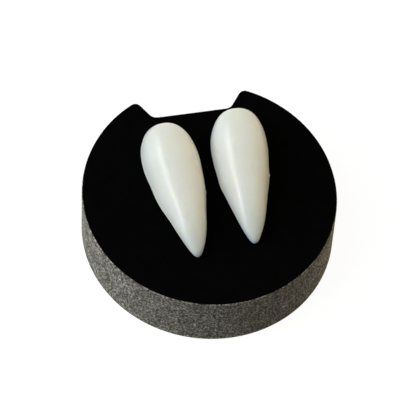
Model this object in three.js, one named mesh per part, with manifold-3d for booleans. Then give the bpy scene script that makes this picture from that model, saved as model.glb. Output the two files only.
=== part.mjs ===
// A pair of vampire fang tooth caps lying on a round foam display pad with a black flocked top.
//
// Millimetres, +Z up. The origin is the centre of the foam disc's flat underside. +Y runs to the
// notch in the pad's back edge, and the fang tips point to -Y. Each fang is one moulded shell: its
// back is open at the root half, where the wearer's own tooth goes in, and its tip half is solid.
// Both lie with the rim of that socket down on the flock.

import * as THREE from 'three';
import { mergeVertices } from 'three/addons/utils/BufferGeometryUtils.js';
import Module from 'manifold-3d';

const wasm = await Module();
wasm.setup();
const { degToRad, lerp, smoothstep } = THREE.MathUtils;

// Foam disc and the flocked sheet glued on it
const padDiameter = 32;
const foamThickness = 8.2;
const flockThickness = 0.4;
const flockInset = 0.1;
const glueLine = 0.05;
const padArcSteps = 96;
const backSwell = 0.25;

// Notch in the back edge, where a fingertip lifts the pad out of its box
const notchDepth = 4.1;
const notchFloorWidth = 9.8;
const notchMouthWidth = 13.4;
const notchMouthOffset = 0.15;
const notchTurnDeg = 1;
const notchCornerRadius = 1.1;
const notchHornRadius = 0.9;
const filletSteps = 6;

// Outside of a fang, measured from its root end along its length
const fangLength = 19;
const fangWidth = 7.15;
const fangHeight = 4.9;
const rootLength = 6.15;
const rootFullness = 2.5;
const shoulderDistance = 10.5;
const shoulderWidth = 6.25;
const shoulderEase = 0.95;
const tipWidth = 2.15;
const taperEase = 0.92;
const crestDistance = 6.6;
const tipHeight = 1.45;
const crestEase = 1.5;
const tipLength = 4.25;
const tipFullness = 2.4;
const tipRise = 0.2;

// Cross-section of a fang: a full arch on a flat back with rounded edges. At the tip only a small
// share of the back stays flat.
const archFullness = 2.2;
const edgeHeight = 0.3;
const edgeWidth = 0.25;
const tipFlatShare = 0.02;
const archSteps = 24;
const edgeSteps = 3;
const rootRings = 11;
const bodyRings = 12;
const tipRings = 9;

// Socket for the wearer's tooth
const wall = 0.8;
const rootWall = 1;
const socketLength = 9.8;
const socketEndLength = 3;
const socketEndFullness = 2.2;
const socketSteps = 28;
const socketRings = 16;

// How the two fangs lie on the flock
const restGap = 0.1;
const rootSpacing = 2.6;
const pairOffset = 0.08;
const leftSetback = 2.2;
const rightSetback = 1.2;
const leftTurnDeg = 5.1;
const rightTurnDeg = -2.4;

// Derived sizes
const padRadius = padDiameter / 2;
const notchFloorY = padRadius - notchDepth;
const flockBottom = foamThickness + glueLine;
const flockTop = flockBottom + flockThickness;
const seatHeight = flockTop + restGap;
const rootCentreDistance = fangWidth + rootSpacing;

// Colours and finishes
const foamMaterial = new THREE.MeshStandardMaterial({ color: 0x5b5852, roughness: 0.95, metalness: 0 });
const flockMaterial = new THREE.MeshStandardMaterial({ color: 0x050505, roughness: 1, metalness: 0 });
const fangMaterial = new THREE.MeshStandardMaterial({ color: 0xe4e4d8, roughness: 0.25, metalness: 0 });

// Points on an arc, both ends included
function arcPoints(centre, radius, fromAngle, toAngle, steps) {
  const points = [];
  for (let i = 0; i <= steps; i++) {
    const angle = fromAngle + (toAngle - fromAngle) * (i / steps);
    points.push(new THREE.Vector2(
      centre.x + radius * Math.cos(angle),
      centre.y + radius * Math.sin(angle),
    ));
  }
  return points;
}

// One side of the notch, from its floor's middle out to the disc's round edge, drawn on the right.
// The inner corner and the horn are arcs that meet the slanted side and their other neighbour
// smoothly. An inset moves the whole edge inwards, so it widens the corner's arc and narrows the
// horn's.
function notchSide(mouthOffset, inset) {
  const floorCorner = new THREE.Vector2(notchFloorWidth / 2, notchFloorY);
  const mouthX = notchMouthWidth / 2 + mouthOffset;
  const mouthCorner = new THREE.Vector2(mouthX, Math.sqrt(padRadius ** 2 - mouthX ** 2));
  const along = mouthCorner.clone().sub(floorCorner).normalize();
  const inward = new THREE.Vector2(along.y, -along.x);

  const cornerCentre = new THREE.Vector2(
    floorCorner.x - notchCornerRadius * (1 + inward.y) / inward.x,
    notchFloorY + notchCornerRadius,
  );
  const corner = arcPoints(
    cornerCentre, notchCornerRadius + inset, -Math.PI / 2, inward.angle() - 2 * Math.PI, filletSteps,
  );

  // The horn's arc touches the slanted side and, from inside, the disc's edge
  const offsetStart = floorCorner.clone().addScaledVector(inward, notchHornRadius);
  const across = offsetStart.dot(along);
  const innerRadius = padRadius - notchHornRadius;
  const reach = -across + Math.sqrt(across ** 2 - offsetStart.lengthSq() + innerRadius ** 2);
  const hornCentre = offsetStart.clone().addScaledVector(along, reach);
  const sideAngle = Math.atan2(-inward.y, -inward.x);
  const horn = arcPoints(
    hornCentre, notchHornRadius - inset, sideAngle, hornCentre.angle(), filletSteps,
  );

  return { points: [...corner, ...horn], edgeAngle: hornCentre.angle() };
}

// The pad is cut a little out of round: its back half stands out past a true circle
function swellBack(point) {
  const towardsBack = Math.max(point.y / point.length(), 0);
  return point.clone().multiplyScalar(1 + backSwell * towardsBack ** 2 / padRadius);
}

// Outline of the notched disc, counter-clockwise
function padShape(inset) {
  const right = notchSide(notchMouthOffset, inset);
  const left = notchSide(-notchMouthOffset, inset);
  const edge = arcPoints(
    new THREE.Vector2(0, 0), padRadius - inset, Math.PI - left.edgeAngle,
    2 * Math.PI + right.edgeAngle, padArcSteps,
  );
  const leftPoints = left.points.map((point) => new THREE.Vector2(-point.x, point.y));
  const outline = [...edge.slice(1, -1), ...right.points.reverse(), ...leftPoints];
  return new THREE.Shape(outline.map(swellBack));
}

// One layer of the pad. The notch, and the pad with it, is turned a little from the fangs' axes.
function padLayer(name, thickness, inset, material) {
  const geometry = new THREE.ExtrudeGeometry(padShape(inset), { depth: thickness, bevelEnabled: false });
  const mesh = namedMesh(name, geometry, material);
  mesh.rotation.z = degToRad(notchTurnDeg);
  return mesh;
}

// Rises from 0 to 1 as a rounded end does. A fullness of 2 is a round end, and more is blunter.
function roundEnd(share, fullness) {
  const rest = 1 - Math.min(Math.max(share, 0), 1);
  return (1 - rest ** fullness) ** (1 / fullness);
}

function rootRounding(distance) {
  return roundEnd(distance / rootLength, rootFullness);
}

function tipRounding(distance) {
  return roundEnd((fangLength - distance) / tipLength, tipFullness);
}

// Half the fang's width: full at the root, a shoulder where the socket ends, then a long taper
function fangHalfWidth(distance) {
  let width = fangWidth;
  if (distance > shoulderDistance) {
    const share = (distance - shoulderDistance) / (fangLength - shoulderDistance);
    width = lerp(shoulderWidth, tipWidth, share ** taperEase);
  } else if (distance > rootLength) {
    const share = (distance - rootLength) / (shoulderDistance - rootLength);
    width = lerp(fangWidth, shoulderWidth, share ** shoulderEase);
  }
  return width / 2 * rootRounding(distance) * tipRounding(distance);
}

// Height of the fang's crest above its rim
function fangCrest(distance) {
  const share = Math.max((distance - crestDistance) / (fangLength - crestDistance), 0);
  return lerp(fangHeight, tipHeight, share ** crestEase) * rootRounding(distance) * tipRounding(distance);
}

// From 0 at the shoulder, where the back is flat, to 1 at the tip, where the section is oval
function tipShare(distance) {
  return smoothstep(distance, shoulderDistance, fangLength);
}

// One closed cross-section of the outside: an arch from +X over the top to -X, then the back
function fangRing(distance) {
  const halfWidth = fangHalfWidth(distance);
  const crest = fangCrest(distance);
  const towardsTip = tipShare(distance);
  const rounding = rootRounding(distance);
  const lift = tipRise * (1 - tipRounding(distance));
  const edgeUp = lerp(edgeHeight * rounding, crest / 2, towardsTip);
  const edgeIn = lerp(edgeWidth * rounding, halfWidth * (1 - tipFlatShare), towardsTip);
  const power = 2 / lerp(archFullness, 2, towardsTip);
  const ring = [];
  for (let i = 0; i <= archSteps; i++) {
    const angle = Math.PI * (i / archSteps);
    const x = Math.sign(Math.cos(angle)) * Math.abs(Math.cos(angle)) ** power * halfWidth;
    const z = edgeUp + Math.abs(Math.sin(angle)) ** power * (crest - edgeUp);
    ring.push(new THREE.Vector3(x, -distance, z + lift));
  }
  for (const side of [-1, 1]) {
    for (let i = 1; i <= edgeSteps; i++) {
      const turn = Math.PI / 2 * (side < 0 ? i / edgeSteps : 1 - (i - 1) / edgeSteps);
      const x = side * (halfWidth - edgeIn * (1 - Math.cos(turn)));
      const z = edgeUp * (1 - Math.sin(turn));
      ring.push(new THREE.Vector3(x, -distance, z + lift));
    }
  }
  return ring;
}

// One closed cross-section of the socket's cutting body, as deep below the rim as above it
function socketRing(distance) {
  const rootEnd = roundEnd((distance - rootWall) / (rootLength - rootWall), rootFullness);
  const tipEnd = roundEnd((socketLength - distance) / socketEndLength, socketEndFullness);
  const fullSection = Math.max(distance, rootLength);
  const halfWidth = (fangHalfWidth(fullSection) - wall) * rootEnd * tipEnd;
  const depth = (fangCrest(fullSection) - wall) * rootEnd * tipEnd;
  const power = 2 / archFullness;
  const ring = [];
  for (let i = 0; i < socketSteps; i++) {
    const angle = 2 * Math.PI * (i / socketSteps);
    const x = Math.sign(Math.cos(angle)) * Math.abs(Math.cos(angle)) ** power * halfWidth;
    const z = Math.sign(Math.sin(angle)) * Math.abs(Math.sin(angle)) ** power * depth;
    ring.push(new THREE.Vector3(x, -distance, z));
  }
  return ring;
}

// Distances between two ends, closer together towards each end that is rounded
function stations(from, to, count, easeFrom, easeTo) {
  const list = [];
  for (let i = 0; i <= count; i++) {
    const share = i / count;
    let eased = share;
    if (easeFrom && easeTo) eased = (1 - Math.cos(Math.PI * share)) / 2;
    else if (easeFrom) eased = 1 - Math.cos(Math.PI / 2 * share);
    else if (easeTo) eased = Math.sin(Math.PI / 2 * share);
    list.push(lerp(from, to, eased));
  }
  return list;
}

// Closed skin through rings that shrink to a point at each end
function loft(startPoint, rings, endPoint) {
  const size = rings[0].length;
  const points = [startPoint, ...rings.flat(), endPoint];
  const last = points.length - 1;
  const triangles = [];
  for (let i = 0; i < size; i++) {
    const next = (i + 1) % size;
    triangles.push(0, 1 + next, 1 + i);
    const lastRing = 1 + (rings.length - 1) * size;
    triangles.push(last, lastRing + i, lastRing + next);
    for (let r = 0; r + 1 < rings.length; r++) {
      const a = 1 + r * size;
      const b = a + size;
      triangles.push(a + i, a + next, b + next, a + i, b + next, b + i);
    }
  }
  const geometry = new THREE.BufferGeometry().setFromPoints(points);
  geometry.setIndex(triangles);
  return geometry;
}

function toSolid(geometry) {
  const bare = new THREE.BufferGeometry();
  bare.setAttribute('position', geometry.getAttribute('position'));
  bare.setIndex(geometry.getIndex());
  const merged = mergeVertices(bare, 1e-5);
  return new wasm.Manifold(new wasm.Mesh({
    numProp: 3,
    vertProperties: new Float32Array(merged.getAttribute('position').array),
    triVerts: new Uint32Array(merged.getIndex().array),
  }));
}

function toGeometry(solid) {
  const mesh = solid.getMesh();
  const geometry = new THREE.BufferGeometry();
  geometry.setAttribute('position', new THREE.BufferAttribute(new Float32Array(mesh.vertProperties), 3));
  geometry.setIndex(new THREE.BufferAttribute(new Uint32Array(mesh.triVerts), 1));
  return geometry;
}

// The whole fang, root end at the origin, lying along -Y with its rim on z = 0
function fangGeometry() {
  const tipStart = fangLength - tipLength;
  const distances = [
    ...stations(0, rootLength, rootRings, true, false).slice(1),
    ...stations(rootLength, tipStart, bodyRings, false, false).slice(1),
    ...stations(tipStart, fangLength, tipRings, false, true).slice(1, -1),
  ];
  const outside = loft(
    new THREE.Vector3(0, 0, 0),
    distances.map(fangRing),
    new THREE.Vector3(0, -fangLength, tipRise),
  );
  const socket = loft(
    new THREE.Vector3(0, -rootWall, 0),
    stations(rootWall, socketLength, socketRings, true, true).slice(1, -1).map(socketRing),
    new THREE.Vector3(0, -socketLength, 0),
  );
  return toGeometry(toSolid(outside).subtract(toSolid(socket)));
}

function namedMesh(name, geometry, material) {
  const mesh = new THREE.Mesh(geometry, material);
  mesh.name = name;
  return mesh;
}

function foamPad() {
  return padLayer('foam_pad', foamThickness, 0, foamMaterial);
}

function flockedTop() {
  const mesh = padLayer('flocked_top', flockThickness, flockInset, flockMaterial);
  mesh.position.z = flockBottom;
  return mesh;
}

function fang(name, side, setback, turnDeg) {
  const mesh = namedMesh(name, fangGeometry(), fangMaterial);
  mesh.position.set(pairOffset + side * rootCentreDistance / 2, notchFloorY - setback, seatHeight);
  mesh.rotation.z = degToRad(turnDeg);
  return mesh;
}

const part = new THREE.Group();
part.add(foamPad());
part.add(flockedTop());
part.add(fang('fang_left', -1, leftSetback, leftTurnDeg));
part.add(fang('fang_right', 1, rightSetback, rightTurnDeg));

export default part;
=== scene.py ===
"""Two vampire fang tooth caps lying on a round foam display pad with a black flocked top."""

import math

import bpy
import numpy as np
from mathutils import Matrix, Vector, noise


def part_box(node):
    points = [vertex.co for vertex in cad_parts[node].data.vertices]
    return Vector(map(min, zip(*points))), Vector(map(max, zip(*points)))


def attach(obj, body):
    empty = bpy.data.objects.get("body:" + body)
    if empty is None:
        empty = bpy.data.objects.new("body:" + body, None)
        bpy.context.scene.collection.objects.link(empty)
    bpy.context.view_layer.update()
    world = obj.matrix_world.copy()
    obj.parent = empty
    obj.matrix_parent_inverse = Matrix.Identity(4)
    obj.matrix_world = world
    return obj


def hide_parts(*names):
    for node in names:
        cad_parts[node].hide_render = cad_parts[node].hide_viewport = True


MM = 0.001

# Camera, at the photograph's place. It looks at the centre of the pad's top.
PHOTO_PIXELS = 416
FOCAL_PIXELS = 3000
SENSOR_MM = 36
CAMERA_DISTANCE = 374.6 * MM
CAMERA_AZIMUTH = math.radians(-16)
CAMERA_ELEVATION = math.radians(58.526)
CAMERA_ROLL = math.radians(6.989)
CAMERA_PITCH = -0.005388

# Light: soft panels all round, cooler at the left and warmer at the right. Gloss mirrors a long bright
# strip at the left and the lowest panels, and the rest are for matt surfaces alone. Angles are in
# degrees, azimuth from -Y towards +X. Radiance is red, green and blue.
PANEL_DISTANCE = 0.35
PANEL_WIDTH = 0.17
STRIP_HEIGHT = 0.1
AMBIENT = (0.03, 0.03, 0.035, 1)
PANELS = (
    {"azimuths": (-60,), "elevation": 12, "radiance": (0.35, 0.4, 0.35), "seen_by": "all"},
    {"azimuths": (-90, -115), "elevation": 12, "radiance": (1.5, 1.6, 1.5), "seen_by": "all"},
    {"azimuths": (-135,), "elevation": 12, "radiance": (0.4, 0.7, 0.8), "seen_by": "all"},
    {"azimuths": (-80, -105, -130), "elevation": 29, "radiance": (7.0, 7.0, 7.0), "seen_by": "gloss"},
    {"azimuths": (-60,), "elevation": 35, "radiance": (0.6, 0.7, 0.7), "seen_by": "diffuse"},
    {"azimuths": (-75, -100), "elevation": 42, "radiance": (1.8, 1.9, 2.3), "seen_by": "diffuse"},
    {"azimuths": (-60,), "elevation": 58, "radiance": (1.0, 1.05, 1.0), "seen_by": "diffuse"},
    {"azimuths": (-85,), "elevation": 58, "radiance": (0.8, 1.0, 1.2), "seen_by": "diffuse"},
    {"azimuths": (-155,), "elevation": 45, "radiance": (0.15, 0.2, 0.25), "seen_by": "diffuse"},
    {"azimuths": (-90,), "elevation": 65, "radiance": (2.0, 2.45, 2.5), "seen_by": "diffuse"},
    {"azimuths": (-5,), "elevation": 68, "radiance": (1.1, 1.1, 1.0), "seen_by": "diffuse"},
    {"azimuths": (120,), "elevation": 12, "radiance": (1.6, 1.3, 0.9), "seen_by": "all"},
    {"azimuths": (110, 140), "elevation": 30, "radiance": (1.95, 1.75, 1.1), "seen_by": "diffuse"},
    {"azimuths": (60,), "elevation": 60, "radiance": (1.4, 1.1, 0.5), "seen_by": "diffuse"},
)

# Fang, measured from its root end along its length
FANG_LENGTH = 19 * MM
FANG_WIDTH = 7.15 * MM
FANG_HEIGHT = 4.9 * MM
ROOT_LENGTH = 6.15 * MM
ROOT_FULLNESS = 2.5
SHOULDER_DISTANCE = 10.5 * MM
SHOULDER_WIDTH = 6.25 * MM
SHOULDER_EASE = 0.95
SHOULDER_SOFTNESS = 0.9 * MM
TIP_WIDTH = 2.15 * MM
TAPER_EASE = 0.92
CREST_DISTANCE = 6.6 * MM
TIP_HEIGHT = 1.45 * MM
CREST_EASE = 1.5
TIP_LENGTH = 4.25 * MM
TIP_FULLNESS = 2.4
TIP_RISE = 0.2 * MM
ARCH_FULLNESS = 2.2
EDGE_HEIGHT = 0.3 * MM
EDGE_WIDTH = 0.25 * MM
TIP_FLAT_SHARE = 0.02

# Socket in the fang's back
WALL = 0.8 * MM
ROOT_WALL = 1 * MM
SOCKET_LENGTH = 9.8 * MM
SOCKET_END_LENGTH = 3 * MM
SOCKET_END_FULLNESS = 2.2

# How the two fangs lie: side, how far the root end is in front of the notch's floor, and turn. The bow
# bends a fang sideways in the middle, and the nub is that far from its root end.
NOTCH_DEPTH = 4.1 * MM
ROOT_SPACING = 2.6 * MM
PAIR_OFFSET = 0.08 * MM
REST_GAP = 0.1 * MM
FANGS = {
    "fang_left": {
        "side": -1,
        "setback": 2.2 * MM,
        "turn": math.radians(5.1),
        "bow": 0.17 * MM,
        "nub": 10.2 * MM,
    },
    "fang_right": {
        "side": 1,
        "setback": 1.2 * MM,
        "turn": math.radians(-2.4),
        "bow": -0.08 * MM,
        "nub": 9.4 * MM,
    },
}

# Moulding marks: the rim at the back stands a little out, with one flash nub on it, and each side
# wavers in its own way, by its seed
RIM_FLARE = 0.03 * MM
RIM_FADE = 0.15 * MM
NUB_OUT = 0.1 * MM
NUB_LENGTH = 0.3 * MM
WOBBLE = 0.03 * MM
WOBBLE_LENGTH = 1.5 * MM
WOBBLE_SEEDS = (-9, 9)
LEAST_HALF_WIDTH = 0.18 * MM

# Rings of the fang's skin and of its socket's
ROOT_RINGS = 50
BODY_RINGS = 80
TIP_RINGS = 40
SOCKET_RINGS = 60

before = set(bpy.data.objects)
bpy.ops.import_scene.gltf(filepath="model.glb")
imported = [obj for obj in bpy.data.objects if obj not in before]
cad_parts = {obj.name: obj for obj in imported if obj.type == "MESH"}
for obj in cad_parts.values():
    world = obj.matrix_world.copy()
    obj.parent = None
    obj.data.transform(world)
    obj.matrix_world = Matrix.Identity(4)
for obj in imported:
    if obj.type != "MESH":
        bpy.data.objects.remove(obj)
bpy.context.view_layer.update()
foam_low, foam_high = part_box("foam_pad")
flock_low, flock_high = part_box("flocked_top")
pad_top = Vector((0, 0, flock_high.z))
pad_radius = foam_high.x
rng = np.random.default_rng(19)


def mix(low, high, share):
    return low + (high - low) * share


def smooth(value, low, high):
    """0 below low, 1 above high, and an S-curve between."""
    share = np.clip((value - low) / (high - low), 0, 1)
    return share * share * (3 - 2 * share)


def direction(azimuth, elevation):
    """Unit vector towards that azimuth, from -Y towards +X, and elevation."""
    flat = math.cos(elevation)
    return Vector((math.sin(azimuth) * flat, -math.cos(azimuth) * flat, math.sin(elevation)))


def make_camera():
    towards = direction(CAMERA_AZIMUTH, CAMERA_ELEVATION)
    right = Vector((math.cos(CAMERA_AZIMUTH), math.sin(CAMERA_AZIMUTH), 0))
    up = right.cross(-towards)
    forward = (up * CAMERA_PITCH - towards).normalized()
    right = forward.cross(up).normalized()
    up = right.cross(forward)
    rolled_right = math.cos(CAMERA_ROLL) * right + math.sin(CAMERA_ROLL) * up
    rolled_up = math.cos(CAMERA_ROLL) * up - math.sin(CAMERA_ROLL) * right
    data = bpy.data.cameras.new("camera")
    data.sensor_width = SENSOR_MM
    data.lens = FOCAL_PIXELS * SENSOR_MM / PHOTO_PIXELS
    camera = bpy.data.objects.new("camera", data)
    turn = Matrix((rolled_right, rolled_up, -forward)).transposed()
    camera.matrix_world = Matrix.Translation(pad_top + towards * CAMERA_DISTANCE) @ turn.to_4x4()
    bpy.context.scene.collection.objects.link(camera)
    bpy.context.scene.camera = camera


def make_panel(name, azimuth, elevation, radiance, seen_by):
    """A soft light that faces the pad, and that gloss mirrors, matt surfaces take, or both."""
    brightest = max(radiance)
    height = STRIP_HEIGHT if seen_by == "gloss" else PANEL_WIDTH
    data = bpy.data.lights.new(name, "AREA")
    data.shape = "RECTANGLE"
    data.size = PANEL_WIDTH
    data.size_y = height
    data.energy = brightest * math.pi * PANEL_WIDTH * height
    data.color = [channel / brightest for channel in radiance]
    light = bpy.data.objects.new(name, data)
    towards = direction(math.radians(azimuth), math.radians(elevation))
    light.location = pad_top + towards * PANEL_DISTANCE
    light.rotation_euler = towards.to_track_quat("Z", "Y").to_euler()
    light.visible_camera = False
    light.visible_glossy = seen_by != "diffuse"
    light.visible_diffuse = seen_by != "gloss"
    bpy.context.scene.collection.objects.link(light)


def make_lights():
    for row in PANELS:
        for azimuth in row["azimuths"]:
            name = f"panel_{azimuth}_{row['elevation']}"
            make_panel(name, azimuth, row["elevation"], row["radiance"], row["seen_by"])


class Nodes:
    """Short calls for building a node tree."""

    def __init__(self, tree):
        self.tree = tree
        tree.nodes.clear()

    def add(self, kind, inputs=None, **settings):
        node = self.tree.nodes.new(kind)
        for key, value in settings.items():
            setattr(node, key, value)
        for key, value in (inputs or {}).items():
            if isinstance(value, bpy.types.NodeSocket):
                self.tree.links.new(value, node.inputs[key])
            else:
                node.inputs[key].default_value = value
        return node

    def math(self, operation, a, b=0.0):
        return self.add("ShaderNodeMath", {0: a, 1: b}, operation=operation).outputs[0]

    def mix(self, share, a, b, blend="MIX"):
        node = self.add("ShaderNodeMix", data_type="RGBA", blend_type=blend)
        for socket, value in zip((node.inputs[0], node.inputs[6], node.inputs[7]), (share, a, b)):
            if isinstance(value, bpy.types.NodeSocket):
                self.tree.links.new(value, socket)
            else:
                socket.default_value = value
        return node.outputs[2]

    def remap(self, value, low, high, to_low=0.0, to_high=1.0):
        inputs = {0: value, 1: low, 2: high, 3: to_low, 4: to_high}
        return self.add("ShaderNodeMapRange", inputs, interpolation_type="SMOOTHSTEP").outputs[0]

    def noise(self, place, scale, detail):
        inputs = {"Vector": place, "Scale": scale, "Detail": detail}
        return self.add("ShaderNodeTexNoise", inputs).outputs["Fac"]

    def gray(self, value):
        return self.add("ShaderNodeCombineXYZ", {0: value, 1: value, 2: value}).outputs[0]

    def attribute(self, name):
        return self.add("ShaderNodeAttribute", attribute_name=name).outputs["Fac"]


def new_material(name):
    material = bpy.data.materials.new(name)
    material.use_nodes = True
    return material, Nodes(material.node_tree)


def make_world():
    """A dim even light from all round."""
    world = bpy.data.worlds.new("studio")
    bpy.context.scene.world = world
    world.use_nodes = True
    nodes = Nodes(world.node_tree)
    background = nodes.add("ShaderNodeBackground", {"Color": AMBIENT, "Strength": 1.0})
    nodes.add("ShaderNodeOutputWorld", {"Surface": background.outputs[0]})


def make_floor():
    """A flat pale floor. Only the camera and reflections see it."""
    material, nodes = new_material("pale_floor")
    glow = nodes.add("ShaderNodeEmission", {"Color": (1, 1, 1, 1), "Strength": 0.93})
    paper = nodes.add("ShaderNodeBsdfDiffuse", {"Color": (0.12, 0.12, 0.12, 1)})
    both = nodes.add("ShaderNodeAddShader", {0: glow.outputs[0], 1: paper.outputs[0]})
    nodes.add("ShaderNodeOutputMaterial", {"Surface": both.outputs[0]})
    mesh = bpy.data.meshes.new("floor")
    reach = 4.0
    corners = [(-reach, -reach, 0), (reach, -reach, 0), (reach, reach, 0), (-reach, reach, 0)]
    mesh.from_pydata(corners, [], [(0, 1, 2, 3)])
    mesh.materials.append(material)
    floor = bpy.data.objects.new("floor", mesh)
    bpy.context.scene.collection.objects.link(floor)
    floor.visible_diffuse = False
    floor.visible_shadow = False


def new_piece(name, points, faces, material, smooth_shading=True):
    mesh = bpy.data.meshes.new(name)
    mesh.from_pydata([tuple(p) for p in points], [], [tuple(f) for f in faces])
    mesh.validate()
    mesh.materials.append(material)
    piece = bpy.data.objects.new(name, mesh)
    bpy.context.scene.collection.objects.link(piece)
    mesh.polygons.foreach_set("use_smooth", [smooth_shading] * len(mesh.polygons))
    return piece


def add_attribute(piece, name, values):
    layer = piece.data.attributes.new(name, "FLOAT", "POINT")
    layer.data.foreach_set("value", np.asarray(values, np.float32))


# The fang's form, as functions of the distance from its root end


def round_end(share, fullness):
    """Rises from 0 to 1 as a rounded end does."""
    rest = 1 - np.clip(share, 0, 1)
    return (1 - rest**fullness) ** (1 / fullness)


def root_rounding(distance):
    return round_end(distance / ROOT_LENGTH, ROOT_FULLNESS)


def tip_rounding(distance):
    return round_end((FANG_LENGTH - distance) / TIP_LENGTH, TIP_FULLNESS)


def full_width(distance):
    to_shoulder = np.clip((distance - ROOT_LENGTH) / (SHOULDER_DISTANCE - ROOT_LENGTH), 0, 1)
    to_tip = np.clip((distance - SHOULDER_DISTANCE) / (FANG_LENGTH - SHOULDER_DISTANCE), 0, 1)
    root_part = mix(FANG_WIDTH, SHOULDER_WIDTH, to_shoulder**SHOULDER_EASE)
    tip_part = mix(SHOULDER_WIDTH, TIP_WIDTH, to_tip**TAPER_EASE)
    return np.where(distance > SHOULDER_DISTANCE, tip_part, root_part)


def half_width(distance, samples=9):
    """Half the fang's width, with the shoulder's corner softened."""
    offsets = np.linspace(-SHOULDER_SOFTNESS, SHOULDER_SOFTNESS, samples)
    widths = [full_width(distance + offset) for offset in offsets]
    return np.mean(widths, axis=0) / 2 * root_rounding(distance) * tip_rounding(distance)


def crest(distance):
    share = np.clip((distance - CREST_DISTANCE) / (FANG_LENGTH - CREST_DISTANCE), 0, 1)
    height = mix(FANG_HEIGHT, TIP_HEIGHT, share**CREST_EASE)
    return height * root_rounding(distance) * tip_rounding(distance)


def power_of(wave, power):
    return np.sign(wave) * np.abs(wave) ** power


def fang_ring(distance, place, arch_steps=110, edge_steps=5, back_steps=12, gather=0.85):
    """One closed section: an arch from +X over the top to -X, with its points gathered at both ends,
    then the back."""
    width, height = half_width(distance), crest(distance)
    towards_tip = smooth(distance, SHOULDER_DISTANCE, FANG_LENGTH)
    rounding = root_rounding(distance)
    edge_up = mix(EDGE_HEIGHT * rounding, height / 2, towards_tip)
    edge_in = mix(EDGE_WIDTH * rounding, width * (1 - TIP_FLAT_SHARE), towards_tip)
    power = 2 / mix(ARCH_FULLNESS, 2, towards_tip)
    share = np.linspace(0, 1, arch_steps + 1)
    turn = math.pi * (share - gather * np.sin(2 * math.pi * share) / (2 * math.pi))
    arch_x = power_of(np.cos(turn), power) * width
    rise = np.abs(np.sin(turn)) ** power * (height - edge_up)
    set_back = RIM_FLARE * (1 - np.exp(-rise / RIM_FADE))
    arch_x *= 1 - set_back / max(width, LEAST_HALF_WIDTH)
    middle = FANG_LENGTH / 2
    arch_y = middle + (distance - middle) * (1 - set_back / middle)
    edge = np.linspace(0, math.pi / 2, edge_steps + 1)
    edge_x = width - edge_in * (1 - np.cos(edge))
    edge_z = edge_up * (1 - np.sin(edge))
    nub = NUB_OUT * math.exp(-(((distance - place["nub"]) / NUB_LENGTH) ** 2))
    back_x = np.linspace(-(width - edge_in), width - edge_in, back_steps + 1)[1:-1]
    x = np.concatenate([arch_x, -edge_x, back_x, edge_x[::-1] + nub * np.cos(edge[::-1])])
    y = np.concatenate([arch_y, np.full(len(x) - len(arch_y), distance)])
    z = np.concatenate([edge_up + rise, edge_z, np.zeros_like(back_x), edge_z[::-1]])
    along = distance / WOBBLE_LENGTH
    waves = [noise.noise(Vector((seed, along, place["nub"] / MM))) for seed in WOBBLE_SEEDS]
    x *= 1 + WOBBLE * np.where(x > 0, waves[1], waves[0]) / max(width, LEAST_HALF_WIDTH)
    x = x + place["bow"] * math.sin(math.pi * distance / FANG_LENGTH)
    return np.column_stack([x, -y, z + TIP_RISE * (1 - tip_rounding(distance))])


def socket_ring(distance, steps=72):
    """One closed section of the socket's cutting body, as deep below the rim as above it."""
    root_end = round_end((distance - ROOT_WALL) / (ROOT_LENGTH - ROOT_WALL), ROOT_FULLNESS)
    tip_end = round_end((SOCKET_LENGTH - distance) / SOCKET_END_LENGTH, SOCKET_END_FULLNESS)
    section = max(distance, ROOT_LENGTH)
    width = (half_width(section) - WALL) * root_end * tip_end
    depth = (crest(section) - WALL) * root_end * tip_end
    turn = np.linspace(0, 2 * math.pi, steps, endpoint=False)
    x = power_of(np.cos(turn), 2 / ARCH_FULLNESS) * width
    z = power_of(np.sin(turn), 2 / ARCH_FULLNESS) * depth
    return np.column_stack([x, np.full_like(x, -distance), z])


def loft(start, rings, end):
    """Points and faces of a closed skin through rings that shrink to a point at each end."""
    size = len(rings[0])
    points = np.vstack([[start], *rings, [end]])
    last = len(points) - 1
    last_ring = 1 + (len(rings) - 1) * size
    faces = []
    for i in range(size):
        after = (i + 1) % size
        faces.append((0, 1 + after, 1 + i))
        faces.append((last, last_ring + i, last_ring + after))
        for ring in range(len(rings) - 1):
            a = 1 + ring * size
            faces.append((a + i, a + after, a + size + after, a + size + i))
    return points, faces


def fang_stations():
    tip_start = FANG_LENGTH - TIP_LENGTH
    root = ROOT_LENGTH * (1 - np.cos(np.linspace(0, math.pi / 2, ROOT_RINGS + 1)[1:]))
    body = np.linspace(ROOT_LENGTH, tip_start, BODY_RINGS + 1)[1:]
    tip = tip_start + TIP_LENGTH * np.sin(np.linspace(0, math.pi / 2, TIP_RINGS + 1)[1:-1])
    return np.concatenate([root, body, tip])


def socket_stations():
    share = (1 - np.cos(np.linspace(0, math.pi, SOCKET_RINGS + 1)[1:-1])) / 2
    return mix(ROOT_WALL, SOCKET_LENGTH, share)


def make_fang(name, material):
    place = FANGS[name]
    rings = [fang_ring(distance, place) for distance in fang_stations()]
    points, faces = loft((0, 0, 0), rings, (0, -FANG_LENGTH, TIP_RISE))
    piece = new_piece("cap_" + name.split("_")[1], points, faces, material)
    cut_points, cut_faces = loft(
        (0, -ROOT_WALL, 0), [socket_ring(d) for d in socket_stations()], (0, -SOCKET_LENGTH, 0)
    )
    cutter = new_piece("socket_cutter", cut_points, cut_faces, material)
    cut = piece.modifiers.new("socket", "BOOLEAN")
    cut.operation = "DIFFERENCE"
    cut.solver = "EXACT"
    cut.object = cutter
    apply_modifiers(piece)
    bpy.data.objects.remove(cutter)
    across = place["side"] * (FANG_WIDTH + ROOT_SPACING) / 2
    piece.location = (
        PAIR_OFFSET + across,
        pad_radius - NOTCH_DEPTH - place["setback"],
        flock_high.z + REST_GAP,
    )
    piece.rotation_euler.z = place["turn"]
    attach(piece, "root")
    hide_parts(name)


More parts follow.
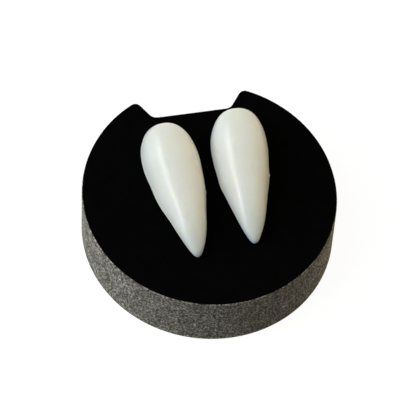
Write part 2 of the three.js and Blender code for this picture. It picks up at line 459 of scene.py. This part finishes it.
def apply_modifiers(piece):
    bpy.context.view_layer.update()
    mesh = bpy.data.meshes.new_from_object(piece.evaluated_get(bpy.context.evaluated_depsgraph_get()))
    piece.modifiers.clear()
    old = piece.data
    piece.data = mesh
    bpy.data.meshes.remove(old)
    mesh.name = piece.name


# Resin: its colours, and how far light goes in it
IVORY = (0.82, 0.79, 0.71, 1)
PALE_IVORY = (0.88, 0.86, 0.8, 1)
TIP_GREY = (0.73, 0.73, 0.68, 1)
SCATTER_AT_ROOT = 0.9 * MM
SCATTER_AT_TIP = 2.2 * MM


def fang_material():
    """Milky resin: light goes deep into it, and a faint waviness from polishing breaks its gloss."""
    material, nodes = new_material("milky_resin")
    place = nodes.add("ShaderNodeTexCoord").outputs["Object"]
    cloud = nodes.noise(place, 240.0, 3.0)
    along = nodes.add("ShaderNodeSeparateXYZ", {0: place}).outputs["Y"]
    to_tip = nodes.remap(along, -0.62 * FANG_LENGTH, -0.98 * FANG_LENGTH)
    ivory = nodes.mix(cloud, IVORY, PALE_IVORY)
    color = nodes.mix(to_tip, ivory, TIP_GREY)
    stretch = nodes.add("ShaderNodeMapping", {"Vector": place, "Scale": (1.0, 0.25, 1.0)})
    polish = nodes.noise(stretch.outputs[0], 700.0, 2.0)
    grain = nodes.noise(place, 5200.0, 2.0)
    wave = nodes.math("ADD", nodes.math("MULTIPLY", cloud, 1.5), polish)
    height = nodes.math("ADD", wave, nodes.math("MULTIPLY", grain, 0.15))
    bump = nodes.add("ShaderNodeBump", {"Height": height, "Strength": 0.3, "Distance": 0.02 * MM})
    middle, near_tip = -0.5 * FANG_LENGTH, -0.9 * FANG_LENGTH
    scatter = nodes.remap(along, middle, near_tip, SCATTER_AT_ROOT, SCATTER_AT_TIP)
    depth = nodes.remap(along, middle, near_tip, 0.5, 1.0)
    roughness = nodes.remap(polish, 0.3, 0.7, 0.27, 0.33)
    resin = nodes.add("ShaderNodeBsdfPrincipled", {
        "Base Color": color,
        "Roughness": roughness,
        "IOR": 1.4,
        "Diffuse Roughness": 1.0,
        "Subsurface Weight": depth,
        "Subsurface Radius": (1.0, 0.8, 0.5),
        "Subsurface Scale": scatter,
        "Sheen Weight": 0.25,
        "Sheen Roughness": 0.35,
        "Sheen Tint": (0.92, 0.96, 1.0, 1),
        "Normal": bump.outputs[0],
    })
    nodes.add("ShaderNodeOutputMaterial", {"Surface": resin.outputs[0]})
    return material


# The foam pad and the flocked sheet share an outline, which comes from their CAD nodes


def outline(node, count):
    """Evenly spaced points along a pad node's edge, counter-clockwise, and each one's way outwards."""
    low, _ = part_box(node)
    corners = {(round(v.co.x, 7), round(v.co.y, 7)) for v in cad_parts[node].data.vertices
               if v.co.z - low.z < 0.01 * MM}
    corners = np.array(sorted(corners, key=lambda p: math.atan2(p[1], p[0])))
    closed = np.vstack([corners, corners[:1]])
    steps = np.linalg.norm(np.diff(closed, axis=0), axis=1)
    reached = np.concatenate([[0], np.cumsum(steps)])
    wanted = np.linspace(0, reached[-1], count, endpoint=False)
    points = np.column_stack([np.interp(wanted, reached, closed[:, axis]) for axis in (0, 1)])
    along = np.roll(points, -2, axis=0) - np.roll(points, 2, axis=0)
    outward = np.column_stack([along[:, 1], -along[:, 0]])
    return points, outward / np.linalg.norm(outward, axis=1)[:, None]


# Foam: its pores, its edges, and how far its foot leans out at the front right. A pore's wall and inside
# begin where the two nearest cells' distances differ by that share of a cell.
PORE_SIZE = 0.36 * MM
FINE_PORE_SIZE = 0.21 * MM
PORE_DEPTH = 0.06 * MM
FINE_PORE_DEPTH = 0.03 * MM
FINE_PORE_SHIFT = 1.0
WALL_SHARE = 0.03
INSIDE_SHARE = 0.45
FOAM_AROUND = 1024
FOAM_ROWS = 62
FOAM_EDGE_RADIUS = 0.12 * MM
EDGE_CALM = 0.6 * MM
FOAM_SLANT = (0.17 * MM, -0.25 * MM)

# Rings of the foam's underside: the least step inwards and where they end, as shares of the outline,
# and the step as a share of a face's width
FLOOR_STEP = 0.0135
FLOOR_END = 0.02
FLOOR_SPACING = 0.99

# Foam's colours, the painted shade in its pores, and the bright flecks of painted glint in it
WALL_SHADE = (0.13, 0.115, 0.092, 1)
WALL_PALE = (0.74, 0.67, 0.55, 1)
# Painted shade: the pores' colour is darkened where shade falls inside them
PORE_PAINTED_SHADE = (0.075, 0.065, 0.05, 1)
# Painted glints: a few small spots of the foam are painted near white where light would glint off cell
# walls
PAINTED_GLINT_WHITE = (0.95, 0.93, 0.88, 1)
PAINTED_GLINTS = (
    {"cells_per_metre": 1400.0, "bare_share": 0.92, "radius_in_cells": 0.24},
    {"cells_per_metre": 700.0, "bare_share": 0.96, "radius_in_cells": 0.16},
)


def openness(points, cell):
    """How far each point is from a wall between two foam cells: 0 on the wall, 1 well inside a cell."""
    gaps = np.empty(len(points))
    for i, point in enumerate(points):
        near = noise.voronoi(Vector(point) / cell)[0]
        gaps[i] = near[1] - near[0]
    return smooth(gaps, WALL_SHARE, INSIDE_SHARE)


def foam_rows(points, outward):
    """Rows of points and their outward normals: up the side, with both edges rounded."""
    rows = []
    for turn in np.linspace(0, math.pi / 2, 5):
        inset = FOAM_EDGE_RADIUS * (1 - math.sin(turn))
        height = foam_low.z + FOAM_EDGE_RADIUS * (1 - math.cos(turn))
        rows.append((inset, height, math.sin(turn), -math.cos(turn)))
    top_radius = FOAM_EDGE_RADIUS / 2
    for height in np.linspace(foam_low.z + FOAM_EDGE_RADIUS, foam_high.z - top_radius, FOAM_ROWS)[1:]:
        rows.append((0, height, 1, 0))
    for turn in np.linspace(0, math.pi / 2, 3)[1:]:
        inset = top_radius * (1 - math.cos(turn))
        height = foam_high.z - top_radius * (1 - math.sin(turn))
        rows.append((inset, height, math.cos(turn), math.sin(turn)))
    places, normals = [], []
    for inset, height, out, up in rows:
        flat = points - outward * inset
        flat = flat + np.array(FOAM_SLANT) * (1 - height / foam_high.z)
        places.append(np.column_stack([flat, np.full(len(flat), height)]))
        normals.append(np.column_stack([outward * out, np.full(len(flat), up)]))
    return places, normals


def foam_floor(first_ring):
    """Rings that shrink to the middle of the underside. Their points halve each time their size does."""
    rings = [first_ring]
    share = 1.0
    step = FLOOR_STEP
    while share > FLOOR_END:
        halvings = 1 + int(-math.log2(share))
        base = first_ring[:: 2**halvings]
        share -= step
        rings.append(np.column_stack([base[:, :2] * share, base[:, 2]]))
        step = max(FLOOR_STEP, FLOOR_SPACING * 2 * math.pi * share / len(base))
    return rings


def bridge(a, count_a, b, count_b):
    """Faces between ring a, outside, and ring b, inside, which has as many points or half as many."""
    faces = []
    ratio = count_a // count_b
    for i in range(count_b):
        after = (i + 1) % count_b
        if ratio == 1:
            faces.append((a + i, b + i, b + after, a + after))
        else:
            faces.append((a + 2 * i, b + i, a + 2 * i + 1))
            faces.append((a + 2 * i + 1, b + i, b + after))
            faces.append((a + 2 * i + 1, b + after, a + (2 * i + 2) % count_a))
    return faces


def make_foam(material):
    points, outward = outline("foam_pad", FOAM_AROUND)
    places, normals = foam_rows(points, outward)
    count = FOAM_AROUND
    faces = []
    for row in range(len(places) - 1):
        a, b = row * count, (row + 1) * count
        for i in range(count):
            after = (i + 1) % count
            faces.append((a + i, a + after, b + after, b + i))
    top_row = (len(places) - 1) * count
    floor_rings = foam_floor(places[0])[1:]
    start = len(places) * count
    outer, outer_count = 0, count
    for ring in floor_rings:
        faces += bridge(outer, outer_count, start, len(ring))
        outer, outer_count = start, len(ring)
        start += len(ring)
        places.append(ring)
        normals.append(np.tile((0, 0, -1), (len(ring), 1)))
    faces.append(tuple(reversed([outer + i for i in range(outer_count)])))
    places.append(np.array([[0, 0, foam_high.z]]))
    normals.append(np.array([[0, 0, 1]]))
    faces += [(top_row + i, top_row + (i + 1) % count, start) for i in range(count)]
    places, normals = np.vstack(places), np.vstack(normals)
    coarse = openness(places, PORE_SIZE)
    fine = openness(places + FINE_PORE_SHIFT, FINE_PORE_SIZE)
    depth = PORE_DEPTH * coarse + FINE_PORE_DEPTH * fine
    depth *= 1 - smooth(normals[:, 2], 0.2, 0.8)
    depth *= smooth(places[:, 2], foam_low.z, foam_low.z + EDGE_CALM)
    piece = new_piece("foam_disc", places - normals * depth[:, None], faces, material)
    # These attributes say where the foam material paints shade into the pores
    add_attribute(piece, "pore", coarse)
    add_attribute(piece, "fine_pore", fine)
    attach(piece, "root")
    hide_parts("foam_pad")


def foam_material():
    """Grey foam: pale cell walls, painted shade in the pores, darker and lighter patches, and a few
    bright flecks of painted glint.
    """
    material, nodes = new_material("open_cell_foam")
    place = nodes.add("ShaderNodeTexCoord").outputs["Object"]
    pore = nodes.attribute("pore")
    fine = nodes.attribute("fine_pore")
    grain = nodes.noise(place, 3600.0, 3.0)
    patches = nodes.noise(place, 700.0, 2.0)
    wall = nodes.mix(nodes.remap(grain, 0.36, 0.66), WALL_SHADE, WALL_PALE)
    # Painted shade: the colour darkens towards the inside of each pore
    shade = nodes.math("MAXIMUM", pore, nodes.math("MULTIPLY", fine, 0.7))
    color = nodes.mix(shade, wall, PORE_PAINTED_SHADE)
    tone = nodes.remap(patches, 0.3, 0.7, 0.8, 1.2)
    color = nodes.mix(1.0, color, nodes.gray(tone), blend="MULTIPLY")
    # Painted glints: small spots in a few chosen cells are painted near white
    for row in PAINTED_GLINTS:
        scale, radius = row["cells_per_metre"], row["radius_in_cells"]
        spots = nodes.add("ShaderNodeTexVoronoi", {"Vector": place, "Scale": scale})
        pick = nodes.add("ShaderNodeSeparateXYZ", {0: spots.outputs["Color"]}).outputs["X"]
        chosen = nodes.math("GREATER_THAN", pick, row["bare_share"])
        near = nodes.remap(spots.outputs["Distance"], radius, radius / 2)
        color = nodes.mix(nodes.math("MULTIPLY", chosen, near), color, PAINTED_GLINT_WHITE)
    foam = nodes.add("ShaderNodeBsdfPrincipled", {
        "Base Color": color,
        "Roughness": 0.85,
        "Specular IOR Level": 0.3,
    })
    nodes.add("ShaderNodeOutputMaterial", {"Surface": foam.outputs[0]})
    return material


# Flocked sheet: its backing and its fibres
BACKING_THICKNESS = 0.3 * MM
FIBRE_COUNT = 34000
FIBRE_WIDTH = 0.05 * MM
FIBRE_LEAN = math.radians(22)
FIBRE_SHORTEST = 0.7
FIBRE_LONGEST = 1.1
FLOCK_SHADE = (0.0006, 0.0006, 0.0006, 1)
FLOCK_PALE = (0.002, 0.002, 0.002, 1)


def make_flock(material):
    """The sheet's backing, and the short fibres that stand on it."""
    count = 480
    points, outward = outline("flocked_top", count)
    top = flock_low.z + BACKING_THICKNESS
    edge = BACKING_THICKNESS / 4
    levels = [(edge, flock_low.z), (0, flock_low.z + edge), (0, top - edge), (edge, top)]
    places = [np.column_stack([points - outward * inset, np.full(count, z)]) for inset, z in levels]
    faces = []
    for row in range(len(levels) - 1):
        a, b = row * count, (row + 1) * count
        faces += [(a + i, a + (i + 1) % count, b + (i + 1) % count, b + i) for i in range(count)]
    bottom_centre, top_centre = len(levels) * count, len(levels) * count + 1
    faces += [(bottom_centre, (i + 1) % count, i) for i in range(count)]
    last = (len(levels) - 1) * count
    faces += [(top_centre, last + i, last + (i + 1) % count) for i in range(count)]
    places += [np.array([[0, 0, flock_low.z], [0, 0, top]])]
    sheet = new_piece("flocked_sheet", np.vstack(places), faces, material, smooth_shading=False)
    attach(sheet, "root")
    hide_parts("flocked_top")
    fibres = make_fibres(points, top, material)


def make_fibres(edge, base, material):
    """Tapered three-sided fibres, leaning a little every way, all over the sheet."""
    angles = np.arctan2(edge[:, 1], edge[:, 0])
    order = np.argsort(angles)
    reach = np.linalg.norm(edge, axis=1)[order]
    angle = rng.uniform(-math.pi, math.pi, FIBRE_COUNT)
    share = np.sqrt(rng.uniform(0, 1, FIBRE_COUNT))
    radius = np.interp(angle, angles[order], reach, period=2 * math.pi) * share
    roots = np.column_stack([radius * np.cos(angle), radius * np.sin(angle), np.full(FIBRE_COUNT, base)])
    roots[:, 2] -= FIBRE_WIDTH / 2
    length = (flock_high.z - base) * rng.uniform(FIBRE_SHORTEST, FIBRE_LONGEST, FIBRE_COUNT)
    lean = FIBRE_LEAN * np.sqrt(rng.uniform(0, 1, FIBRE_COUNT))
    heading = rng.uniform(0, 2 * math.pi, FIBRE_COUNT)
    tips = roots + length[:, None] * np.column_stack(
        [np.sin(lean) * np.cos(heading), np.sin(lean) * np.sin(heading), np.cos(lean)]
    )
    corners = []
    for k in range(3):
        turn = heading + 2 * math.pi * k / 3
        side = FIBRE_WIDTH / 2 * np.column_stack([np.cos(turn), np.sin(turn), np.zeros(FIBRE_COUNT)])
        corners.append(roots + side)
    points = np.stack([*corners, tips], axis=1).reshape(-1, 3)
    first = 4 * np.arange(FIBRE_COUNT)[:, None]
    quarter = [first + np.array(f) for f in ((0, 1, 3), (1, 2, 3), (2, 0, 3), (0, 2, 1))]
    faces = np.concatenate(quarter).tolist()
    piece = new_piece("flock_fibres", points, faces, material, smooth_shading=False)
    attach(piece, "root")
    return piece


def flock_material():
    """Deep black, a little uneven."""
    material, nodes = new_material("black_flock")
    place = nodes.add("ShaderNodeTexCoord").outputs["Object"]
    patches = nodes.noise(place, 900.0, 4.0)
    color = nodes.mix(patches, FLOCK_SHADE, FLOCK_PALE)
    flock = nodes.add("ShaderNodeBsdfPrincipled", {
        "Base Color": color,
        "Roughness": 1.0,
        "Specular IOR Level": 0.02,
    })
    nodes.add("ShaderNodeOutputMaterial", {"Surface": flock.outputs[0]})
    return material


bpy.context.scene.view_settings.view_transform = "Standard"
make_camera()
make_world()
make_floor()
make_lights()
make_foam(foam_material())
make_flock(flock_material())
resin = fang_material()
for fang in FANGS:
    make_fang(fang, resin)
